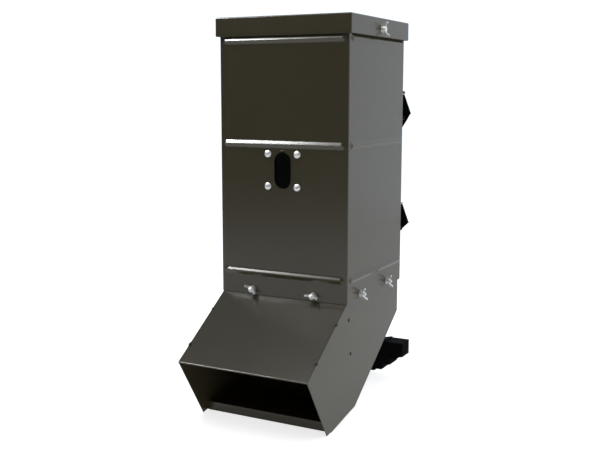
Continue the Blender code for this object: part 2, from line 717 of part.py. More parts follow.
def make_baffle():
    """The plate inside the chute that lets feed reach the trough only along its floor."""
    face, up, behind = baffle_line()
    half = INNER_HALF
    sheet = bmesh.new()
    foot = CHUTE_HEEL_LEVEL + BAFFLE_THROAT
    levels = (foot, foot + BAFFLE_FLANGE, HOPPER_FOOT - BAFFLE_FLANGE_DOWN,
              HOPPER_FOOT + BAFFLE_ABOVE_FOOT)
    rows = []
    for level in levels:
        at = face + up * (level - face.y) / up.y
        rows.append([(-half, at.x, at.y), (half, at.x, at.y)])
    verts = [sheet.verts.new(point) for point in rows[0]]
    edges = [sheet.edges.new(verts)]
    flange_edges = []
    for n, row in enumerate(rows[1:]):
        drawn = bmesh.ops.extrude_edge_only(sheet, edges=edges)["geom"]
        edges = [item for item in drawn if isinstance(item, bmesh.types.BMEdge)]
        new = sorted((v for v in drawn if isinstance(v, bmesh.types.BMVert)), key=lambda v: v.co.x)
        for vert, point in zip(new, row):
            vert.co = point
        if n == 1:
            face_now = new[0].link_faces[0]
            flange_edges = [edge for edge in face_now.edges
                            if edge.verts[0].co.x == edge.verts[1].co.x]
    ahead = Vector((0, -behind.x, -behind.y)) * BAFFLE_FLANGE
    drawn = bmesh.ops.extrude_edge_only(sheet, edges=flange_edges)["geom"]
    moved = [item for item in drawn if isinstance(item, bmesh.types.BMVert)]
    bmesh.ops.translate(sheet, verts=moved, vec=ahead)
    drawn = bmesh.ops.extrude_edge_only(sheet, edges=edges)["geom"]
    moved = [item for item in drawn if isinstance(item, bmesh.types.BMVert)]
    bmesh.ops.translate(sheet, verts=moved, vec=(0, -BAFFLE_SHELF, 0))
    bmesh.ops.recalc_face_normals(sheet, faces=sheet.faces)
    sheet.normal_update()
    tallest = max(sheet.faces, key=lambda item: item.calc_area())
    if tallest.normal.y < 0:
        bmesh.ops.reverse_faces(sheet, faces=sheet.faces)
    mesh = bpy.data.meshes.new("feed_baffle")
    sheet.to_mesh(mesh)
    sheet.free()
    baffle = bpy.data.objects.new("feed_baffle", mesh)
    wall = baffle.modifiers.new("wall", "SOLIDIFY")
    wall.thickness = SHEET
    wall.offset = -1
    wall.use_even_offset = True
    adopt(baffle, "bronze_paint")
    holes = [(drill(RIVET_HOLE, 8 * SHEET), (side * half, y, z), "right")
             for side in (-1, 1) for y, z in BAFFLE_RIVETS]
    cut(baffle, cutter("baffle_holes", holes))


def rivet_mesh(name, grip):
    """A pop rivet whose dome seats at height 0 and whose tail closes behind the grip."""
    head, tail = RIVET_HEAD_HEIGHT, RIVET_TAIL_HEIGHT
    profile = [(0, head), (RIVET_HEAD_RADIUS * 0.6, head * 0.85), (RIVET_HEAD_RADIUS, 0),
               (RIVET_RADIUS, 0), (RIVET_RADIUS, -grip), (RIVET_TAIL_RADIUS, -grip),
               (RIVET_TAIL_RADIUS * 0.7, -grip - tail), (0, -grip - tail)]
    return turned(name, profile, 12)


def make_rivets():
    """Rivets of the baffle at both sides and of the brackets at the back."""
    side_rivet = rivet_mesh("baffle_rivet", 2 * SHEET + 3 * GAP)
    for side, sign in (("right", 1), ("left", -1)):
        for order, (y, z) in zip(("upper", "lower"), BAFFLE_RIVETS):
            at = (sign * (PLATE_OUTSIDE + GAP), y, z)
            place("baffle_rivet_" + side + "_" + order, side_rivet, "dark_rivet", at, side)
    back_rivet = rivet_mesh("bracket_rivet", BRACKET_SHEET + SHEET + 3 * GAP)
    seat = HOPPER_DEPTH + 2 * GAP + BRACKET_SHEET
    names = ("left_top", "left_foot", "right_top", "right_foot")
    for bracket, level in BRACKET_LEVELS.items():
        for name, (x, _, z) in zip(names, bracket_rivet_places(level)):
            place(bracket + "_rivet_" + name, back_rivet, "dark_rivet", (x, seat, z), "back")


def make_bracket(name, level):
    """A hat-section channel across the back: the tree bears on its web, the strap runs inside.

    The web is notched at both ends, so that the strap folds over it between two ears.
    """
    foot, top = BRACKET_MOUTH / 2 + BRACKET_SHEET + BRACKET_FOOT, BRACKET_MOUTH / 2
    back = HOPPER_DEPTH + GAP
    profile = [(back, level + foot), (back, level + top), (WEB_INSIDE, level + top),
               (WEB_INSIDE, level - top), (back, level - top), (back, level - foot)]
    bracket = bent_sheet(name + "_bracket", profile, BRACKET_HALF + BRACKET_EAR, BRACKET_SHEET,
                         1, (0, 0, level), bend=BEND)
    adopt(bracket, "bronze_paint")
    tools = [(drill(RIVET_HOLE, 8 * BRACKET_SHEET), at, "back")
             for at in bracket_rivet_places(level)]
    lift = FOLD_LIFT[name]
    notch = (2 * BRACKET_EAR, 4 * BRACKET_SHEET, 2 * BRACKET_NOTCH + lift)
    tools += [(block(notch, (side * (BRACKET_HALF + BRACKET_EAR), BEARING_DEPTH, level + lift / 2)),
               (0, 0, 0), "up") for side in (-1, 1)]
    cut(bracket, cutter(name + "_bracket_holes", tools))


def wing_outline(sign):
    """Outline of one wing, (across, up), flaring out from the hub."""
    reach = WING_SPAN / 2
    inner = BOLT_HOLE + GAP
    rise = WING_RISE
    points = [(inner, rise * 0.09), (reach * 0.52, rise * 0.10), (reach * 0.80, rise * 0.33),
              (reach * 0.97, rise * 0.64), (reach, rise * 0.88), (reach * 0.90, rise),
              (reach * 0.74, rise * 0.93), (reach * 0.58, rise * 0.70), (inner, rise * 0.54)]
    return [(sign * x, z) for x, z in points][::sign]


def wing_piece(name, hub_profile):
    """A turned hub with two wings joined to it."""
    hub = turned(name, hub_profile)
    wings = [(plate(name + "_wing", [wing_outline(sign)], WING_THICKNESS), (0, 0, 0), "front")
             for sign in (1, -1)]
    tool = cutter(name + "_wings", wings)
    tool.parent = None
    mesh = baked(hub, name, [("BOOLEAN", {"operation": "UNION", "solver": "EXACT",
                                          "object": tool})])
    bpy.data.objects.remove(tool, do_unlink=True)
    return smooth(mesh)


def make_collar_fasteners():
    """Carriage bolts from inside the collar, with a wing nut on each."""
    grip = 2 * SHEET + 2 * GAP
    head, edge = BOLT_HEAD_HEIGHT, BOLT_HEAD_RADIUS
    tip = grip + BOLT_REACH
    r = BOLT_RADIUS
    bolt = turned("collar_bolt", [
        (0, tip), (r * 0.8, tip), (r, tip - r / 5), (r, 0), (edge, 0), (edge, -head * 0.25),
        (edge * 0.8, -head * 0.7), (edge * 0.45, -head * 0.95), (0, -head)])
    nut = wing_piece("wing_nut", [
        (WING_HUB_TOP, WING_HUB_HEIGHT), (WING_HUB_RADIUS, WING_SHOULDER), (WING_HUB_RADIUS, 0),
        (BOLT_HOLE, 0), (BOLT_HOLE, WING_HUB_HEIGHT), (WING_HUB_TOP, WING_HUB_HEIGHT)])
    turns = {"front_left": -0.6, "front_right": -0.15, "right_front": 0.45, "right_rear": 0.35,
             "left_front": 0.2, "left_rear": -0.3}
    for name, at, aim in collar_bolt_places():
        out = Matrix.Rotation(AIM[aim][1], 3, "Y") @ Matrix.Rotation(AIM[aim][0], 3, "X")
        outward = out @ Vector((0, 0, 1))
        place("collar_bolt_" + name, bolt, "zinc_plate", Vector(at) - outward * grip, aim)
        place("wing_nut_" + name, nut, "zinc_plate", Vector(at) + outward * GAP, aim,
              turns[name])


def make_lid_fasteners():
    """Wing screws through the lid's skirt, each in a thin nut welded inside it."""
    r = BOLT_RADIUS
    tip = -LID_OVERHANG
    screw = wing_piece("lid_wing_screw", [
        (0, WING_HUB_HEIGHT), (WING_HUB_TOP, WING_HUB_HEIGHT), (WING_HUB_RADIUS, WING_SHOULDER),
        (WING_HUB_RADIUS, 0), (r, 0), (r, tip + r / 5), (r * 0.8, tip), (0, tip)])
    hexagon = ring((0, 0), LID_NUT_ACROSS / 2 / math.cos(math.pi / 6), 6)
    nut = plate("lid_nut", [hexagon, ring((0, 0), BOLT_HOLE)], LID_NUT_THICKNESS)
    nut_in = SHEET + GAP + LID_NUT_THICKNESS / 2
    for side, at in lid_screw_places():
        outward = Vector((math.copysign(1, at[0]), 0, 0))
        place("lid_wing_screw_" + side, screw, "zinc_plate", Vector(at) + outward * GAP, side,
              0.3)
        place("lid_nut_" + side, nut, "zinc_plate", Vector(at) - outward * nut_in, side)


def smooth_route(points, steps):
    """Points on a smooth curve through the given points, ends included."""
    path = [Vector(point) for point in points]
    path = [path[0] * 2 - path[1]] + path + [path[-1] * 2 - path[-2]]
    route = []
    for a, b, c, d in zip(path, path[1:], path[2:], path[3:]):
        for n in range(steps):
            t = n / steps
            route.append((b * 2 + (c - a) * t + (a * 2 - b * 5 + c * 4 - d) * t ** 2
                          + (b * 3 - a - c * 3 + d) * t ** 3) / 2)
    route.append(path[-2])
    return route


def buckle_bar_centre():
    """Middle of the buckle's bar, (x, y)."""
    return (BUCKLE_START + BUCKLE_BAR / 2, STRAP_OUT + BUCKLE_BAR_LOOP)


def run_depth(level):
    """How far back the hanging strap lies at one height."""
    part = (TAIL_CUT + DRIFT_RISE - level) / (DRIFT_RISE - DRIFT_END)
    part = min(1.0, max(0.0, part))
    part = part * part * (3 - 2 * part)
    return STRAP_OUT + (TAIL_DEPTH - STRAP_OUT) * part


def strap_run(name, level):
    """One strap from its sewn loop, through its bracket, over a diagonal fold and down."""
    low, high = level - WEBBING / 2, level + WEBBING / 2
    bar_x, bar_y = buckle_bar_centre()
    loop = BUCKLE_BAR_LOOP
    turn = (STRAP_OUT - STRAP_IN) / 2
    web_end = -(BRACKET_HALF + FOLD_STAND)
    sewn_y = STRAP_OUT + WEBBING_THICKNESS + HANK_GAP
    plan = [(bar_x - SEWN_LENGTH, sewn_y), (bar_x - BUCKLE_NECK, sewn_y)]
    plan += arc((bar_x, bar_y), loop, 90, -90, 2 * FOLD_STEPS)
    plan += [(bar_x - BUCKLE_NECK, STRAP_OUT)]
    plan += arc((web_end, (STRAP_IN + STRAP_OUT) / 2), turn, 90, 270, FOLD_STEPS)
    plan += [(0.0, STRAP_IN)]
    rungs = [((x, y, low), (x, y, high)) for x, y in plan]
    crease = FOLD_TURN / 2
    slant = -WEBBING / math.tan(crease)
    fold_high = Vector((BRACKET_HALF + FOLD_STAND, 0, high + FOLD_LIFT[name]))
    fold_low = fold_high + Vector((slant, 0, -WEBBING))
    outward = Vector((math.cos(crease - math.pi / 2), 0, math.sin(crease - math.pi / 2)))
    for depth, out in arc((0, 0), turn, -90, 90, 2 * FOLD_STEPS):
        shift = outward * depth + Vector((0, (STRAP_IN + STRAP_OUT) / 2 + out, 0))
        rungs.append((fold_low + shift, fold_high + shift))
    along = Vector((math.cos(FOLD_TURN), 0, math.sin(FOLD_TURN)))
    lag = (fold_high - fold_low).dot(along)
    at = Vector((0, STRAP_OUT, 0))
    first = (fold_low + at, fold_high + at - along * lag)
    rungs.append(first)
    start = (first[0] + first[1]) / 2
    tail, foot = HANKS[name]["tail"], TAIL_CUT + GAP
    fall = [(tail + across * (start.x - tail), level - down * (level - foot))
            for across, down in STRAP_FALLS[name]]
    route = smooth_route([(start.x, start.z)] + fall, ROUTE_STEPS)
    for before, here, after in zip(route, route[1:], route[2:] + [route[-1] * 2 - route[-2]]):
        heading = (after - before).normalized()
        side = Vector((-heading.y, 0, heading.x)) * WEBBING / 2
        middle = Vector((here.x, run_depth(here.y), here.y))
        rungs.append((middle + side, middle - side))
    make_strap(name + "_strap_run", rungs)


def hank_rungs(name, enter_level, climb):
    """Rungs of one hank: the tail comes down, turns under or over, folds and goes to and fro."""
    plan = HANKS[name]
    x_left, x_right = plan["tail"] - WEBBING / 2, plan["tail"] + WEBBING / 2
    rungs = [((x_right, TAIL_DEPTH, TAIL_CUT), (x_left, TAIL_DEPTH, TAIL_CUT))]
    bend_at = (TAIL_DEPTH + TAIL_BEND, enter_level + TAIL_BEND)
    for y, z in arc(bend_at, TAIL_BEND, 180, 270, FOLD_STEPS):
        rungs.append(((x_right, y, z), (x_left, y, z)))
    outward = Vector((-1, 1, 0)).normalized()
    radius = HANK_PITCH / 2
    far = Vector((x_right, HANK_BACK, enter_level + climb * radius))
    near = Vector((x_left, HANK_FRONT, enter_level + climb * radius))
    for out, up in arc((0, 0), radius, -90, 90, FOLD_STEPS):
        shift = outward * out + Vector((0, 0, up * climb))
        rungs.append((far + shift, near + shift))
    level = enter_level + climb * HANK_PITCH
    rungs.append(((x_right, HANK_BACK, level), (x_right, HANK_FRONT, level)))
    going = 1
    for right in plan["right"]:
        end = right if going > 0 else plan["left"]
        centre = (end, level + climb * radius)
        for x, z in arc(centre, radius, -90, 90, FOLD_STEPS):
            out = going * (x - end)
            z = centre[1] + climb * (z - centre[1])
            rungs.append(((end + out, HANK_BACK, z), (end + out, HANK_FRONT, z)))
        level += climb * HANK_PITCH
        going = -going
    end = (plan["left"] + plan["right"][-1]) / 2
    rungs.append(((end, HANK_BACK, level), (end, HANK_FRONT, level)))
    return rungs


def make_strap(name, rungs):
    """A length of webbing over its rungs, which are pairs of points across it."""
    rows = [[Vector(point) for point in rung] for rung in rungs]
    part = swept(name, rows, WEBBING_THICKNESS, 0, even=False)
    adopt(part, "webbing")
    length = sum(((a[0] + a[1]) / 2 - (b[0] + b[1]) / 2).length for a, b in zip(rows, rows[1:]))
    print(name, "length", round(length, 3), "m")


def least_gap(rungs):
    """Least space between the turns of a hank, measured between points along its middle."""
    middles = [(Vector(a) + Vector(b)) / 2 for a, b in rungs]
    route = []
    for a, b in zip(middles, middles[1:]):
        count = max(1, int((b - a).length / (HANK_PITCH / 2)))
        route += [a.lerp(b, n / count) for n in range(count)]
    apart = 2 * HANK_PITCH
    least = 1.0
    walked = [0.0]
    for a, b in zip(route, route[1:]):
        walked.append(walked[-1] + (b - a).length)
    for i in range(0, len(route), 2):
        for j in range(i + 4, len(route), 2):
            if walked[j] - walked[i] > 3 * apart:
                least = min(least, (route[i] - route[j]).length)
    return least - WEBBING_THICKNESS


def make_straps():
    """Both straps with their hanks, and the tie round the hanks."""
    for name, level in BRACKET_LEVELS.items():
        strap_run(name, level)
    lower_layers = len(HANKS["lower"]["right"])
    upper_layers = len(HANKS["upper"]["right"])
    upper_top = HANK_BASE + (upper_layers + 1) * HANK_PITCH
    lower_top = upper_top + (lower_layers + 2) * HANK_PITCH
    for name, enter, climb in (("upper", HANK_BASE, 1), ("lower", lower_top, -1)):
        rungs = hank_rungs(name, enter, climb)
        make_strap(name + "_strap_hank", rungs)
        print(name, "hank, least gap between turns", round(least_gap(rungs) * 1000, 2), "mm")
    half = WEBBING_THICKNESS / 2 + GAP
    front, back = HANK_FRONT - GAP, HANK_BACK + GAP
    foot, top = HANK_BASE + HANK_PITCH - half, lower_top - HANK_PITCH + half
    inner = rounded_box((back - front) / 2, (top - foot) / 2, TIE_THICKNESS / 2)
    outer = rounded_box((back - front) / 2 + TIE_THICKNESS, (top - foot) / 2 + TIE_THICKNESS,
                        TIE_THICKNESS * 1.5)
    tie = plate("hank_tie", [outer, inner], TIE_WIDTH)
    place("hank_tie", tie, "rubber", (TIE_ACROSS, (front + back) / 2, (foot + top) / 2), "plate")


def lever_outline():
    """Cam and handle of the buckle's lever about its pin, (along the strap, away from it)."""
    cam = arc((0, 0), CAM_RADIUS, 70, 330, 12)
    reach, thick = LEVER_LENGTH, LEVER_THICKNESS
    handle = [(CAM_RADIUS * 1.3, -thick), (reach * 0.89, 0), (reach, thick * 0.87),
              (reach * 0.97, thick * 1.47), (reach * 0.86, thick), (CAM_RADIUS * 1.5, thick * 0.4)]
    return cam + handle


def make_buckles():
    """A cam buckle for each strap: bent frame, cam lever and its pin."""
    plate_depth = STRAP_OUT + BUCKLE_BAR_LOOP
    half = BUCKLE_INSIDE / 2 + BUCKLE_SHEET / 2
    pin_x, pin_y = BUCKLE_START + PIN_ALONG, plate_depth + PIN_STAND
    middle_x = BUCKLE_START + BUCKLE_LENGTH / 2
    pin_half = BUCKLE_INSIDE / 2 + BUCKLE_SHEET + GAP
    lever = plate("cam_lever", [lever_outline(), ring((0, 0), PIN_RADIUS + PIN_PLAY)],
                  LEVER_WIDTH)
    r, head = PIN_RADIUS, PIN_HEAD_RADIUS
    pin = turned("cam_pin", [
        (0, pin_half + PIN_HEAD), (head * 0.8, pin_half + PIN_HEAD), (head, pin_half), (r, pin_half),
        (r, -pin_half), (head, -pin_half), (head * 0.8, -pin_half - PIN_HEAD),
        (0, -pin_half - PIN_HEAD)], 12)
    for name, level in BRACKET_LEVELS.items():
        ear_top = plate_depth + BUCKLE_EAR
        profile = [(ear_top, -half), (plate_depth, -half), (plate_depth, half), (ear_top, half)]
        path = rounded_path(profile, BEND)
        rows = [[(middle_x + side * BUCKLE_LENGTH / 2, y, level + z) for y, z in path]
                for side in (-1, 1)]
        frame = swept(name + "_buckle_frame", rows, BUCKLE_SHEET, 0)
        adopt(frame, "black_steel")
        slot_x = BUCKLE_START + BUCKLE_BAR + BUCKLE_SLOT / 2
        slot = block((BUCKLE_SLOT, 4 * BUCKLE_SHEET, WEBBING + 4 * GAP),
                     (slot_x, plate_depth, level))
        hole = drill(PIN_RADIUS + PIN_PLAY, 2 * BUCKLE_INSIDE)
        cut(frame, cutter(name + "_buckle_cuts", [(slot, (0, 0, 0), "up"),
                                                  (hole, (pin_x, pin_y, level), "up")]))
        place(name + "_cam_lever", lever, "black_steel", (pin_x, pin_y, level))
        place(name + "_cam_pin", pin, "zinc_plate", (pin_x, pin_y, level))


make_hopper_shell()
make_back_panel()
make_lid()
make_window()
make_window_fasteners()
make_side_plates()
make_hood()
make_chute_floor()
make_baffle()
make_rivets()
make_collar_fasteners()
make_lid_fasteners()
for bracket_name, bracket_level in BRACKET_LEVELS.items():
    make_bracket(bracket_name, bracket_level)
make_straps()
make_buckles()
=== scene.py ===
import json
import math

import bmesh
import bpy
from mathutils import Matrix, Vector

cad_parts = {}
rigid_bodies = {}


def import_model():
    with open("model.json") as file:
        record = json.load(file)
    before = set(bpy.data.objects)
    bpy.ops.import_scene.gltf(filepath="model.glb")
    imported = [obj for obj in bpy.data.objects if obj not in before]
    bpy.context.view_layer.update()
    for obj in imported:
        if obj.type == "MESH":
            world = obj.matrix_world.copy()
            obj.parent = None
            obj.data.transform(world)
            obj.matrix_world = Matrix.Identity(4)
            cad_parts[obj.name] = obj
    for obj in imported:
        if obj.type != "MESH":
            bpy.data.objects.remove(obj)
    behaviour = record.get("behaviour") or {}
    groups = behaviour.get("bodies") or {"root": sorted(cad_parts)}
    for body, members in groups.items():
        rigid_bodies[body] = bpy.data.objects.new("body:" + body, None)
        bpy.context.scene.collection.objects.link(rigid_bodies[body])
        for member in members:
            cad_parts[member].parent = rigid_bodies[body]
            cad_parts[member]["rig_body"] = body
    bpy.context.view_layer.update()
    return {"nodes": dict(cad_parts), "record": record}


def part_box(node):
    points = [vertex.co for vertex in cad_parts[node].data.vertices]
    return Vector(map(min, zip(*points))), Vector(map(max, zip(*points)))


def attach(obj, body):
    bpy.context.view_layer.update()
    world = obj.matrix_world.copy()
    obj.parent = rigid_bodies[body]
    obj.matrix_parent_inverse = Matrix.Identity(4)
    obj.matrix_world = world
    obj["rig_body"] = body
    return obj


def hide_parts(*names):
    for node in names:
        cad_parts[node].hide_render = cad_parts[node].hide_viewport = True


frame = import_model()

nodes = frame["nodes"]

# Hopper, chute and brackets
# Folded 1.2 mm sheet steel with cut edges slightly rounded by deburring, powder coated in a
# dark olive bronze: semi-gloss, with a fine orange peel and a very slight waviness of the sheet.


class Shade:
    """A value, colour or vector in a material. Sums of these add the nodes that work them out."""

    def __init__(self, tree, socket=None):
        self.tree = tree
        self.socket = socket

    def node(self, kind, inputs=None, output=0, **settings):
        """Any other node, with its settings, and its inputs by name or place."""
        made = self.tree.nodes.new(kind)
        for key, value in settings.items():
            setattr(made, key, value)
        for key, value in (inputs or {}).items():
            if isinstance(value, Shade):
                self.tree.links.new(value.socket, made.inputs[key])
            else:
                made.inputs[key].default_value = value
        return Shade(self.tree, made.outputs[output])

    def feed(self, name, shader="Principled BSDF"):
        """Links this to one of the shader's inputs."""
        self.tree.links.new(self.socket, self.tree.nodes[shader].inputs[name])

    def axes(self):
        """The three parts of a vector."""
        return [self.node("ShaderNodeSeparateXYZ", {0: self}, output=axis) for axis in range(3)]

    def sum(self, operation, *others):
        """A Math node that works on this and the others."""
        return self.node("ShaderNodeMath", dict(enumerate((self,) + others)), operation=operation)

    def __add__(self, other):
        return self.sum("ADD", other)

    def __mul__(self, other):
        return self.sum("MULTIPLY", other)

    def __sub__(self, other):
        return self.sum("SUBTRACT", other)

    def __rsub__(self, other):
        return self * -1.0 + other

    __radd__ = __add__
    __rmul__ = __mul__


MOTTLE_SCALE = 23.0
MOTTLE_DETAIL = 4.0


def noise(place, scale, detail=2.0):
    """Soft random patches from 0 to 1, about as many to a metre as the scale says."""
    return place.node("ShaderNodeTexNoise", {"Vector": place, "Scale": scale, "Detail": detail})


def surface(name, colours, roughness, **fixed):
    """A material: its two mottled colours, its roughness as (level, spread), and what is the
    same all over. The object's own coordinates come with it, for further work."""
    material = bpy.data.materials.new(name)
    material.use_nodes = True
    shader = material.node_tree.nodes["Principled BSDF"]
    for key, value in fixed.items():
        shader.inputs[key.replace("_", " ")].default_value = value
    place = Shade(material.node_tree).node("ShaderNodeTexCoord", output="Object")
    mottle = noise(place, MOTTLE_SCALE, MOTTLE_DETAIL)
    low, high = ((*colour, 1.0) for colour in colours)
    tint = place.node("ShaderNodeMix", {0: mottle, 6: low, 7: high}, output=2, data_type="RGBA")
    tint.feed("Base Color")
    level, spread = roughness
    rough = mottle * (2 * spread) + (level - spread)
    rough.feed("Roughness")
    return material, place


def bump(height, distance):
    """Relief of a material, from a height of 0 to 1 over a real distance."""
    relief = height.node("ShaderNodeBump", {"Height": height, "Distance": distance},
                         output="Normal")
    relief.feed("Normal")


PAINT_COLOURS = ((0.064, 0.053, 0.028), (0.070, 0.058, 0.032))
PAINT_RELIEF = 0.0001
PEEL_SCALE = 700.0
PEEL_SHARE = 0.06
WAVE_SCALE = 7.0
WAVE_SHARE = 0.94

paint, place = surface("powder_coat", PAINT_COLOURS, roughness=(0.23, 0.02), IOR=1.6)
peel = noise(place, PEEL_SCALE)
wave = noise(place, WAVE_SCALE)
bump(peel * PEEL_SHARE + wave * WAVE_SHARE, PAINT_RELIEF)

MERGE_REACH = 2e-6
FACET_ANGLE = 0.6
CREASE = 30.0


def frame_slot(node):
    """The material slot that the record gives a node."""
    return next(row["material_slot"] for row in frame["record"]["subparts"]
                if row["node"] == node)


def merged(node):
    """A node's solid as a working mesh, with its loose facets joined into whole faces."""
    work = bmesh.new()
    work.from_mesh(nodes[node].data)
    bmesh.ops.remove_doubles(work, verts=work.verts, dist=MERGE_REACH)
    bmesh.ops.dissolve_limit(work, angle_limit=math.radians(FACET_ANGLE), verts=work.verts,
                             edges=work.edges)
    return work


def piece_of(name, work, material, node, angle=CREASE):
    """A working mesh as a piece that goes with a node: smooth, with crisp edges kept."""
    mesh = bpy.data.meshes.new(name)
    work.to_mesh(mesh)
    work.free()
    mesh.materials.append(material)
    mesh.shade_smooth()
    mesh.set_sharp_from_angle(angle=math.radians(angle))
    piece = bpy.data.objects.new(name, mesh)
    bpy.context.scene.collection.objects.link(piece)
    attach(piece, nodes[node]["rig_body"])
    return piece


def round_edges(piece, width, angle=CREASE, segments=2):
    """Edges of a piece rounded, and its flat faces kept flat in shading."""
    rounding = piece.modifiers.new("edges", "BEVEL")
    rounding.width = width
    rounding.segments = segments
    rounding.limit_method = "ANGLE"
    rounding.angle_limit = math.radians(angle)
    weights = piece.modifiers.new("flats", "WEIGHTED_NORMAL")
    weights.keep_sharp = True


def softened(name, node, material, edge, angle=CREASE, segments=2):
    """A CAD node with its facets merged, its cut edges rounded and its curves smooth."""
    piece = piece_of(name, merged(node), material, node, angle)
    if edge:
        round_edges(piece, edge, angle, segments)
    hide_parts(node)


SHEET_EDGE = 0.0004
PLATE_EDGE = 0.00057
INNER_EDGE = 0.0001
for node in ("hopper_shell", "hopper_back_panel", "chute_hood", "upper_bracket",
             "lower_bracket"):
    softened("painted_" + node, node, paint, SHEET_EDGE)
for node in ("chute_side_left", "chute_side_right"):
    softened("painted_" + node, node, paint, PLATE_EDGE, segments=4)
for node in ("chute_floor", "feed_baffle"):
    softened("painted_" + node, node, paint, INNER_EDGE)

# Lid
# A shallow cap of the same sheet, folded down all round, with a wing screw through its skirt at
# each side. The skirt has a hem inside, which shows outside as a faint ridge just above the edge.

HEM_LEVEL = 0.0042
HEM_HALF = 0.0012
HEM_RIDGE = 0.0003
SKIRT_OUTSIDE = 0.0008
TOUCH = 1e-6

lid = merged("lid")
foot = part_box("lid")[0][2]
for level in (HEM_LEVEL - HEM_HALF, HEM_LEVEL, HEM_LEVEL + HEM_HALF):
    bmesh.ops.bisect_plane(lid, geom=lid.verts[:] + lid.edges[:] + lid.faces[:], dist=TOUCH,
                           plane_co=(0, 0, foot + level), plane_no=(0, 0, 1))
low, high = (Vector(corner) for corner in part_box("lid"))
centre = (low + high) / 2
reach = (high - low) / 2
lid.normal_update()
for vert in lid.verts:
    if abs(vert.co.z - foot - HEM_LEVEL) > HEM_HALF / 4:
        continue
    across, deep = vert.co.x - centre.x, vert.co.y - centre.y
    if max(abs(across) - reach.x, abs(deep) - reach.y) > -SKIRT_OUTSIDE:
        outward = Vector((vert.normal.x, vert.normal.y, 0)).normalized()
        vert.co += outward * HEM_RIDGE
cap = piece_of("painted_lid", lid, paint, "lid")
round_edges(cap, SHEET_EDGE)
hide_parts("lid")

# Tack welds
# Short lumpy beads of weld that hold the hood to the top edges of the two side plates, painted
# over with the rest. Their colour is much darker than the paint: partly the thin coat over the
# weld, and partly painted shade that stands in for the shadow of the lumps.

# Darker than the paint: the thin coat on the weld, with painted shade for the lumps' shadow.
WELD_SHADED_COLOURS = ((0.012, 0.010, 0.006), (0.020, 0.017, 0.010))
WELD_SCALE = 900.0
WELD_RELIEF = 0.0002
WELD_PLACES = ((-0.3161, -0.3687), (-0.3921, -0.4164))
WELD_SIZE = (0.0026, 0.0042, 0.0034)
WELD_INWARD = 0.0010
LUMP_HEIGHT = 0.18
LUMP_WAVES = (3, 5, 4)
LUMP_SHIFT = 90
SIDES = (("left", -1), ("right", 1))

weld_coat_and_shade, place = surface("weld_coat_and_shade", WELD_SHADED_COLOURS, roughness=(0.50, 0.05))
bump(noise(place, WELD_SCALE), WELD_RELIEF)
for side, sign in SIDES:
    low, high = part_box("chute_side_" + side)
    beads = bmesh.new()
    for depth, level in WELD_PLACES:
        blob = bmesh.ops.create_icosphere(beads, subdivisions=3, radius=1.0)["verts"]
        for vert in blob:
            x, y, z = (wave * value for wave, value in zip(LUMP_WAVES, vert.co))
            lump = math.sin(y + x) * math.cos(z + depth * LUMP_SHIFT)
            vert.co *= 1 + LUMP_HEIGHT * lump
        bmesh.ops.scale(beads, verts=blob, vec=WELD_SIZE)
        across = (low[0] + high[0]) / 2 - sign * WELD_INWARD
        bmesh.ops.translate(beads, verts=blob, vec=(across, depth, level))
    piece_of("tack_welds_" + side, beads, weld_coat_and_shade, "chute_side_" + side, angle=60.0)

# Seam welds
# The trough floor and back slope are welded to the side plates from inside: one narrow bead
# along each joint, painted over.

SEAM_LINE = ((-0.3348, -0.5537), (-0.2364, -0.5380), (-0.0340, -0.4040))
SEAM_RADIUS = 0.0013
SEAM_SIDES = 12

for side, sign in SIDES:
    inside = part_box("chute_side_" + side)[1 if sign < 0 else 0][0]
    seam = bmesh.new()
    ring = bmesh.ops.create_circle(seam, cap_ends=True, radius=SEAM_RADIUS,
                                   segments=SEAM_SIDES)["verts"]
    bmesh.ops.rotate(seam, verts=ring, cent=(0, 0, 0), matrix=Matrix.Rotation(math.pi / 2, 3, "X"))
    bmesh.ops.translate(seam, verts=ring, vec=(inside, *SEAM_LINE[0]))
    for (y, z), (next_y, next_z) in zip(SEAM_LINE, SEAM_LINE[1:]):
        end = [face for face in seam.faces if all(vert in ring for vert in face.verts)]
        grown = bmesh.ops.extrude_face_region(seam, geom=end)["geom"]
        # Only the two outer ends stay as caps.
        if y != SEAM_LINE[0][0]:
            bmesh.ops.delete(seam, geom=end, context="FACES_ONLY")
        ring = [item for item in grown if isinstance(item, bmesh.types.BMVert)]
        bmesh.ops.translate(seam, verts=ring, vec=(0, next_y - y, next_z - z))
    bmesh.ops.recalc_face_normals(seam, faces=seam.faces)
    piece_of("seam_weld_" + side, seam, paint, "chute_side_" + side, angle=50.0)

# Wing nuts and wing screws, plain nuts and cam pins
# Bright zinc plated steel. Wing nuts and wing screws are small castings with rounded edges, the
# rest is cold headed or cut from bar. The plating is smooth and only slightly uneven.

ZINC_COLOURS = ((0.93, 0.92, 0.90), (0.98, 0.97, 0.95))
ZINC_SCALE = 420.0
ZINC_RELIEF = 0.0001
CASTING_EDGE = 0.0006
PIN_EDGE = 0.0002
METAL_CREASE = 38.0

zinc, place = surface("zinc_plating", ZINC_COLOURS, roughness=(0.40, 0.05), Metallic=0.80,
                      Specular_IOR_Level=0.8)
bump(noise(place, ZINC_SCALE), ZINC_RELIEF)
for node in nodes:
    if "wing" in node:
        softened("cast_" + node, node, zinc, CASTING_EDGE, METAL_CREASE, segments=3)
    elif "nut" in node or "cam_pin" in node:
        softened("plated_" + node, node, zinc, PIN_EDGE, METAL_CREASE)

# Collar bolts
# Carriage bolts through the collar of the chute: cold headed steel with low domed heads and
# rolled threads, zinc plated.

BOLT_RADIUS = 0.003
BOLT_PITCH = 0.001
BOLT_HEAD = 0.0034
# The head's outline from its middle to its rim: radius, and share of the head's height.
BOLT_DOME = ((0.0, 1.0), (0.0032, 0.95), (0.0056, 0.7), (0.0069, 0.28), (0.007, 0.0))
BOLT_TURN_STEPS = 40
BOLT_THREAD = 0.0004
THREAD_LENGTH = 0.0115
THREAD_STEPS = 24
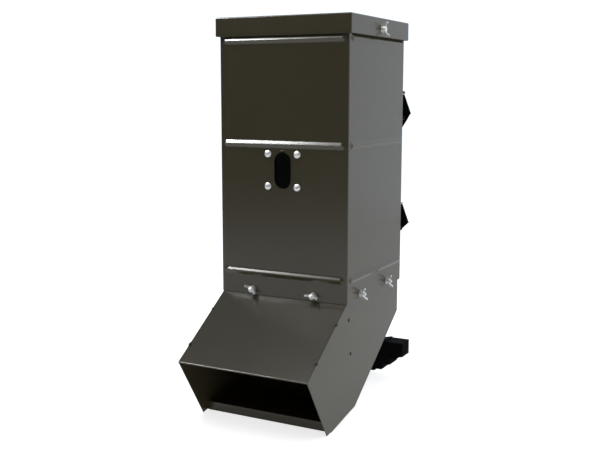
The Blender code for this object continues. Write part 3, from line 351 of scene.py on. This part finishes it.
# One tooth of the thread: root 0 or crest 1, and height as a share of the pitch.
TOOTH = ((0, 0.06), (1, 0.42), (1, 0.62), (0, 0.94))
TOOTH_SINK = 0.0001
RUNOUT = 0.0003
CHAMFER = 0.0006
TURNED_CREASE = 32.0
OUTWARD = {"front": (0, -1, 0), "right": (1, 0, 0), "left": (-1, 0, 0)}


def lathe(work, profile, steps):
    """A closed turned shape from a profile of (radius, height) that starts and ends on the axis."""
    line = [work.verts.new((radius, 0.0, height)) for radius, height in profile]
    edges = [work.edges.new(pair) for pair in zip(line, line[1:])]
    bmesh.ops.spin(work, geom=line + edges, cent=(0, 0, 0), axis=(0, 0, 1), dvec=(0, 0, 0),
                   angle=2 * math.pi, steps=steps, use_merge=True)
    bmesh.ops.remove_doubles(work, verts=work.verts, dist=TOUCH)
    bmesh.ops.recalc_face_normals(work, faces=work.faces)


def screw_thread(work, core, crest, pitch, start, length):
    """A helical thread between two heights: one tooth that is drawn round and up."""
    line = [work.verts.new((crest if top else core - TOOTH_SINK, 0.0, start + share * pitch))
            for top, share in TOOTH]
    edges = [work.edges.new(pair) for pair in zip(line, line[1:] + line[:1])]
    turns = int(length / pitch) - 1
    drawn = bmesh.ops.spin(work, geom=line + edges, cent=(0, 0, 0), axis=(0, 0, 1),
                           dvec=(0, 0, pitch / THREAD_STEPS), angle=2 * math.pi * turns,
                           steps=THREAD_STEPS * turns)["geom_last"]
    work.faces.new(line)
    last = [item for item in drawn if isinstance(item, bmesh.types.BMEdge)]
    bmesh.ops.contextual_create(work, geom=last)
    bmesh.ops.recalc_face_normals(work, faces=work.faces)


def aimed(work, place, outward):
    """A working mesh turned from the Z axis to point outward from its place."""
    turn = Vector((0, 0, 1)).rotation_difference(Vector(outward)).to_matrix().to_4x4()
    bmesh.ops.transform(work, verts=work.verts, matrix=Matrix.Translation(place) @ turn)


for node in nodes:
    if not node.startswith("collar_bolt_"):
        continue
    outward = Vector(OUTWARD[node.split("_")[2]])
    low, high = (Vector(corner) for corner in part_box(node))
    middle = (low + high) / 2
    half = abs((high - low).dot(outward)) / 2
    tip = 2 * half - BOLT_HEAD
    core = BOLT_RADIUS - BOLT_THREAD
    shoulder = tip - THREAD_LENGTH
    head = [(radius, -BOLT_HEAD * share) for radius, share in BOLT_DOME]
    shank = [(BOLT_RADIUS, 0), (BOLT_RADIUS, shoulder - RUNOUT), (core, shoulder),
             (core, tip - CHAMFER), (core - CHAMFER, tip), (0, tip)]
    bolt = bmesh.new()
    lathe(bolt, head + shank, BOLT_TURN_STEPS)
    screw_thread(bolt, core, BOLT_RADIUS, BOLT_PITCH, shoulder, THREAD_LENGTH)
    aimed(bolt, middle - outward * (half - BOLT_HEAD), outward)
    rolled = piece_of("rolled_" + node, bolt, zinc, node, TURNED_CREASE)
    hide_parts(node)

# Window screws
# Truss head screws round the sight window, with a cross recess for a driver: cold headed steel
# with rolled threads, zinc plated.

SCREW_RADIUS = 0.0025
SCREW_PITCH = 0.0008
SCREW_HEAD = 0.0030
SCREW_HEAD_RADIUS = 0.0066
# The head is a short straight rim and a dome: shares of its height, and the dome's steps in
# degrees.
SCREW_RIM = 0.18
SCREW_DOME = 0.82
DOME_STEPS = (0, 12, 26, 42, 58, 72, 82)
SCREW_TURN_STEPS = 48
SCREW_THREAD = 0.0003
SCREW_NECK = 0.004
SCREW_PLAIN = 0.0045
RECESS_REACH = 0.0023
RECESS_HALF = 0.00048
RECESS_DEPTH = 0.0017
RECESS_TAPER = 0.55
RECESS_TURN = 0.5


def carved(work, cutter):
    """A working mesh with another cut out of it."""
    body = bpy.data.meshes.new("body")
    tool = bpy.data.meshes.new("tool")
    work.to_mesh(body)
    cutter.to_mesh(tool)
    work.free()
    cutter.free()
    body_object = bpy.data.objects.new("body", body)
    tool_object = bpy.data.objects.new("tool", tool)
    for item in (body_object, tool_object):
        bpy.context.scene.collection.objects.link(item)
    cut = body_object.modifiers.new("cut", "BOOLEAN")
    cut.operation = "DIFFERENCE"
    cut.solver = "EXACT"
    cut.use_self = True
    cut.object = tool_object
    graph = bpy.context.evaluated_depsgraph_get()
    done = bpy.data.meshes.new_from_object(body_object.evaluated_get(graph))
    result = bmesh.new()
    result.from_mesh(done)
    for item in (body_object, tool_object):
        bpy.data.objects.remove(item, do_unlink=True)
    for mesh in (body, tool, done):
        bpy.data.meshes.remove(mesh)
    return result


for number, node in enumerate(sorted(nodes)):
    if not node.startswith("window_screw_"):
        continue
    low, high = (Vector(corner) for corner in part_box(node))
    middle = (low + high) / 2
    length = high.y - low.y - SCREW_HEAD
    core = SCREW_RADIUS - SCREW_THREAD
    dome = [(SCREW_HEAD_RADIUS * math.cos(rise),
             SCREW_HEAD * SCREW_RIM + SCREW_HEAD * SCREW_DOME * math.sin(rise))
            for rise in (math.radians(step) for step in DOME_STEPS)]
    head = [(0, SCREW_HEAD)] + dome[::-1] + [(SCREW_HEAD_RADIUS, 0)]
    shank = [(SCREW_RADIUS, 0), (SCREW_RADIUS, -SCREW_NECK), (core, -SCREW_NECK - RUNOUT),
             (core, -length + CHAMFER), (core - CHAMFER, -length), (0, -length)]
    screw = bmesh.new()
    lathe(screw, head + shank, SCREW_TURN_STEPS)
    recess = bmesh.new()
    for turn in (0.0, math.pi / 2):
        slot = bmesh.ops.create_cube(recess, size=2.0)["verts"]
        bmesh.ops.scale(recess, verts=slot, vec=(RECESS_REACH, RECESS_HALF, RECESS_DEPTH))
        for vert in slot:
            if vert.co.z < 0:
                vert.co.x *= RECESS_TAPER
        bmesh.ops.rotate(recess, verts=slot, cent=(0, 0, 0),
                         matrix=Matrix.Rotation(turn + RECESS_TURN * number, 3, "Z"))
    bmesh.ops.translate(recess, verts=recess.verts, vec=(0, 0, SCREW_HEAD))
    screw = carved(screw, recess)
    screw_thread(screw, core, SCREW_RADIUS, SCREW_PITCH, -length, length - SCREW_PLAIN)
    aimed(screw, Vector((middle.x, low.y + SCREW_HEAD, middle.z)), (0, -1, 0))
    headed = piece_of("headed_" + node, screw, zinc, node, TURNED_CREASE)
    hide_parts(node)

# Rivets
# Pop rivets with low domed heads in darkened steel. They hold the brackets to the back panel and
# the feed baffle to the side plates.

RIVET_COLOURS = ((0.030, 0.030, 0.030), (0.048, 0.047, 0.045))

rivet_steel, _ = surface("dark_rivet_steel", RIVET_COLOURS, roughness=(0.45, 0.05), Metallic=0.6)
for node in nodes:
    if frame_slot(node) == "dark_rivet":
        softened("dark_" + node, node, rivet_steel, edge=0.0, angle=50.0)

# Sight window
# A clear plastic sheet behind the slot, on a black rubber gasket. The window screws and their
# nuts clamp both to the hopper.

PANE_COLOURS = ((0.80, 0.83, 0.83), (0.86, 0.88, 0.88))
RUBBER_COLOURS = ((0.010, 0.010, 0.010), (0.018, 0.018, 0.017))

clear, _ = surface("clear_plastic", PANE_COLOURS, roughness=(0.05, 0.02), IOR=1.49,
                   Transmission_Weight=1.0)
rubber, _ = surface("black_rubber", RUBBER_COLOURS, roughness=(0.72, 0.06))
softened("clear_pane", "window_pane", clear, edge=0.0)
softened("rubber_gasket", "window_gasket", rubber, edge=0.0)

# Straps
# Woven black polyester webbing, 38 mm wide: a close twill, with rounded selvedges. The length
# that isn't in use is folded into two hanks, which one rubber tie holds.

WEBBING_COLOURS = ((0.0022, 0.0022, 0.0026), (0.0045, 0.0045, 0.0050))
YARN_PITCH = 0.0016
WEAVE_RELIEF = 0.00025
SELVEDGE = 0.0006
TIE_EDGE = 0.0003

webbing, place = surface("black_webbing", WEBBING_COLOURS, roughness=(0.88, 0.04),
                         Specular_IOR_Level=0.12)
x, y, z = place.axes()
yarns = 2 * math.pi / YARN_PITCH
warp = ((x + y + z) * yarns).sum("SINE")
weft = ((x - y - z) * yarns).sum("SINE")
bump(warp * weft * 0.5 + 0.5, WEAVE_RELIEF)
for node in ("upper_strap_run", "lower_strap_run", "upper_strap_hank", "lower_strap_hank"):
    softened("woven_" + node, node, webbing, SELVEDGE, angle=60.0)
softened("rubber_tie", "hank_tie", rubber, TIE_EDGE)

# Cam buckles
# One for each strap, at its bracket: a frame of pressed steel and a cast cam lever, both coated
# black.

BUCKLE_COLOURS = ((0.010, 0.010, 0.011), (0.016, 0.016, 0.017))
BUCKLE_EDGE = 0.0003

black_coat, _ = surface("black_coat", BUCKLE_COLOURS, roughness=(0.42, 0.05))
for node in ("upper_buckle_frame", "lower_buckle_frame", "upper_cam_lever", "lower_cam_lever"):
    softened("black_" + node, node, black_coat, BUCKLE_EDGE)

# Floor, backdrop and light
# A white studio: a pale floor that glows a little, more for the camera than for the part, one
# soft light above the front, and a smaller one at the left. That one shows in reflections only
# and draws the bright lines along the beads.

FLOOR_RADIUS = 2.6
FLOOR_SIDES = 96
FLOOR_GAP = 0.0003
FLOOR_COLOURS = ((0.86, 0.86, 0.86), (0.88, 0.88, 0.88))
FLOOR_GLOW = 0.78
FLOOR_LAMP = 0.33
LIGHT_TARGET = (0.0, -0.15, -0.2)

floor_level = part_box("chute_side_left")[0][2] - FLOOR_GAP
sheet = bmesh.new()
bmesh.ops.create_circle(sheet, cap_ends=True, radius=FLOOR_RADIUS, segments=FLOOR_SIDES)
bmesh.ops.translate(sheet, verts=sheet.verts, vec=(0, 0, floor_level))
floor_mesh = bpy.data.meshes.new("studio_floor")
sheet.to_mesh(floor_mesh)
sheet.free()
floor = bpy.data.objects.new("studio_floor", floor_mesh)
bpy.context.scene.collection.objects.link(floor)
studio_white, place = surface("studio_white", FLOOR_COLOURS, roughness=(0.6, 0.02),
                              Emission_Strength=FLOOR_GLOW)
seen = place.node("ShaderNodeLightPath", output="Is Camera Ray")
level = seen * (1.0 - FLOOR_LAMP) + FLOOR_LAMP
glow = level.node("ShaderNodeCombineXYZ", {axis: level for axis in range(3)})
glow.feed("Emission Color")
floor_mesh.materials.append(studio_white)


def softbox(name, place, size, power):
    """A rectangular soft light that looks at the part."""
    lamp = bpy.data.lights.new(name, "AREA")
    lamp.shape = "RECTANGLE"
    lamp.size, lamp.size_y = size
    lamp.energy = power
    light = bpy.data.objects.new(name, lamp)
    light.location = place
    aim = Vector(LIGHT_TARGET) - Vector(place)
    light.rotation_euler = aim.to_track_quat("-Z", "Y").to_euler()
    bpy.context.scene.collection.objects.link(light)
    return light


softbox("front_softbox", place=(-0.3, -1.1, 1.9), size=(2.0, 1.2), power=15.5)
key = softbox("left_key", place=(-1.29, -1.34, 1.26), size=(0.5, 0.6), power=56.0)
key.visible_diffuse = False

# The room's light: white behind and at the right of the part, dim towards its front, and plain
# white where the camera sees past the floor.
FRONT_LIGHT = 0.03
BACK_LIGHT = 0.82
BACKWARD = 0.9
RIGHTWARD = 0.5
BLEND_HALF = 0.5
CAMERA_WHITE = 1.1
ROOM_COLOUR = (0.93, 1.0, 1.09, 1.0)

world = bpy.data.worlds.new("studio")
world.use_nodes = True
bpy.context.scene.world = world
sky = Shade(world.node_tree)
x, y = sky.node("ShaderNodeTexCoord", output="Generated").axes()[:2]
bright = sky.node("ShaderNodeMapRange", {0: y * BACKWARD + x * RIGHTWARD, 1: -BLEND_HALF,
                                         2: BLEND_HALF, 3: FRONT_LIGHT, 4: BACK_LIGHT},
                  interpolation_type="SMOOTHSTEP")
seen = sky.node("ShaderNodeLightPath", output="Is Camera Ray")
strength = bright.sum("MAXIMUM", seen * CAMERA_WHITE)
strength.feed("Strength", "Background")
world.node_tree.nodes["Background"].inputs["Color"].default_value = ROOM_COLOUR

# Camera
# Fitted to the photograph: 27 degrees to the right of the front, about 1.7 m from the middle of
# the feeder, looking 8.5 degrees down.

IMAGE_WIDTH = 600
FOCAL_PIXELS = 890.1
SENSOR_WIDTH = 36.0
CAMERA_PLACE = (0.7501, -1.6594, 0.0248)
CAMERA_TURN = math.radians(27.37)
CAMERA_FALL = math.radians(8.47)
CAMERA_ROLL = math.radians(0.09)

lens = bpy.data.cameras.new("camera")
lens.sensor_width = SENSOR_WIDTH
lens.lens = FOCAL_PIXELS / IMAGE_WIDTH * SENSOR_WIDTH
camera = bpy.data.objects.new("camera", lens)
camera.matrix_world = (Matrix.Translation(CAMERA_PLACE)
                       @ Matrix.Rotation(CAMERA_TURN, 4, "Z")
                       @ Matrix.Rotation(math.pi / 2 - CAMERA_FALL, 4, "X")
                       @ Matrix.Rotation(CAMERA_ROLL, 4, "Z"))
bpy.context.scene.collection.objects.link(camera)
bpy.context.scene.camera = camera
bpy.context.scene.view_settings.view_transform = "Standard"
